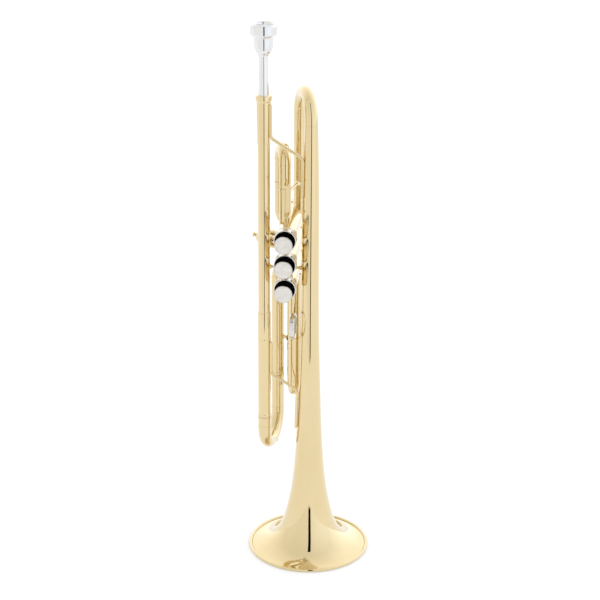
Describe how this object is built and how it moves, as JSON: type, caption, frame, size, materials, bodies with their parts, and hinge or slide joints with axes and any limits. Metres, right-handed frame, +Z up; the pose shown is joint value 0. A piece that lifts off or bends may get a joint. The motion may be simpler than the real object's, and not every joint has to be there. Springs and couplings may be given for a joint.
{
  "type": "trumpet",
  "caption": "Lacquered brass trumpet standing on its bell, with piston valves, pull slides, water keys and a silver mouthpiece that lifts out.",
  "frame": {"origin": "centre of the bell rim, in the plane that the bell stands on", "axes": "+Z up the bell axis towards the mouthpiece end, -Y the side that the finger buttons point to, -X the leadpipe side"},
  "size_m": [0.1192, 0.1307, 0.527],
  "materials": {
    "lacquered_brass": "polished clear lacquered brass",
    "felt": "black felt",
    "guide_plastic": "white nylon",
    "nickel_silver": "polished nickel silver",
    "spring_steel": "spring wire",
    "piston_alloy": "honed nickel alloy",
    "pearl": "polished pearl",
    "cork": "natural cork",
    "silver_plate": "polished silver plate"
  },
  "bodies": {
    "frame": {"bell": "lacquered_brass", "bell_rim": "lacquered_brass", "bell_bow": "lacquered_brass", "bell_tail_ferrule": "lacquered_brass", "mouthpiece_receiver": "lacquered_brass", "leadpipe": "lacquered_brass", "leadpipe_ferrule": "lacquered_brass", "slide_tube_upper": "lacquered_brass", "slide_tube_lower": "lacquered_brass", "valve3_elbow": "lacquered_brass", "upper_brace": "lacquered_brass", "lower_brace": "lacquered_brass", "valve_cross_stay": "lacquered_brass", "tail_post": "lacquered_brass", "leg_post": "lacquered_brass", "valve_knuckles": "lacquered_brass", "cap_felts": "felt", "valve_guides": "guide_plastic", "slide1_tube_near": "lacquered_brass", "slide1_tube_far": "lacquered_brass", "slide2_tubes": "lacquered_brass", "slide3_tube_near": "lacquered_brass", "slide3_tube_far": "lacquered_brass", "finger_ring": "nickel_silver", "casing_1": "lacquered_brass", "casing_2": "lacquered_brass", "casing_3": "lacquered_brass", "top_cap_1": "nickel_silver", "top_cap_2": "nickel_silver", "top_cap_3": "nickel_silver", "bottom_cap_1": "lacquered_brass", "bottom_cap_2": "lacquered_brass", "bottom_cap_3": "lacquered_brass", "valve_spring_1": "spring_steel", "valve_spring_2": "spring_steel", "valve_spring_3": "spring_steel"},
    "valve_1": {"piston_1": "piston_alloy", "button_1": "nickel_silver", "pearl_1": "pearl"},
    "valve_2": {"piston_2": "piston_alloy", "button_2": "nickel_silver", "pearl_2": "pearl"},
    "valve_3": {"piston_3": "piston_alloy", "button_3": "nickel_silver", "pearl_3": "pearl"},
    "tuning_slide": {"tuning_bow": "lacquered_brass", "tuning_inner_tubes": "nickel_silver"},
    "tuning_key": {"tuning_water_key": "lacquered_brass", "tuning_key_cork": "cork"},
    "first_slide": {"slide1_bow": "lacquered_brass", "slide1_inner_tubes": "nickel_silver", "thumb_saddle": "lacquered_brass"},
    "second_slide": {"slide2_bow": "lacquered_brass", "slide2_inner_tubes": "nickel_silver", "slide2_knob": "lacquered_brass"},
    "third_slide": {"slide3_bow": "lacquered_brass", "slide3_inner_tubes": "nickel_silver"},
    "slide3_key": {"slide3_water_key": "lacquered_brass", "slide3_key_cork": "cork"},
    "mouthpiece": {"mouthpiece": "silver_plate"}
  },
  "joints": [
    {"name": "valve_1_press", "type": "slide", "parent": "frame", "child": "valve_1", "axis": [0, 1, 0], "range_m": [0, 0.0128], "stiffness_N_per_m": 110, "springref_m": -0.011, "deforming": ["valve_spring_1"]},
    {"name": "valve_2_press", "type": "slide", "parent": "frame", "child": "valve_2", "axis": [0, 1, 0], "range_m": [0, 0.0128], "stiffness_N_per_m": 110, "springref_m": -0.011, "deforming": ["valve_spring_2"]},
    {"name": "valve_3_press", "type": "slide", "parent": "frame", "child": "valve_3", "axis": [0, 1, 0], "range_m": [0, 0.0128], "stiffness_N_per_m": 110, "springref_m": -0.011, "deforming": ["valve_spring_3"]},
    {"name": "tuning_slide_pull", "type": "slide", "parent": "frame", "child": "tuning_slide", "axis": [0, 0, -1], "range_m": [0, 0.05]},
    {"name": "first_slide_push", "type": "slide", "parent": "frame", "child": "first_slide", "axis": [0, 0, 1], "range_m": [0, 0.017]},
    {"name": "second_slide_pull", "type": "slide", "parent": "frame", "child": "second_slide", "axis": [-0.9781, 0, 0.2079], "range_m": [0, 0.0085]},
    {"name": "third_slide_push", "type": "slide", "parent": "frame", "child": "third_slide", "axis": [0, 0, -1], "range_m": [0, 0.035]},
    {"name": "tuning_key_press", "type": "hinge", "parent": "tuning_slide", "child": "tuning_key", "pos_m": [-0.0365, 0.0569, 0.12], "axis": [1, 0, 0], "range_deg": [0, 9], "stiffness_Nm_per_rad": 0.12, "springref_deg": -14.32},
    {"name": "slide3_key_press", "type": "hinge", "parent": "third_slide", "child": "slide3_key", "pos_m": [-0.0205, 0.0499, 0.164], "axis": [1, 0, 0], "range_deg": [0, 9], "stiffness_Nm_per_rad": 0.12, "springref_deg": -14.32},
    {"name": "mouthpiece_pull", "type": "slide", "parent": "frame", "child": "mouthpiece", "axis": [0, 0, 1], "range_m": [0, 0.022]}
  ]
}
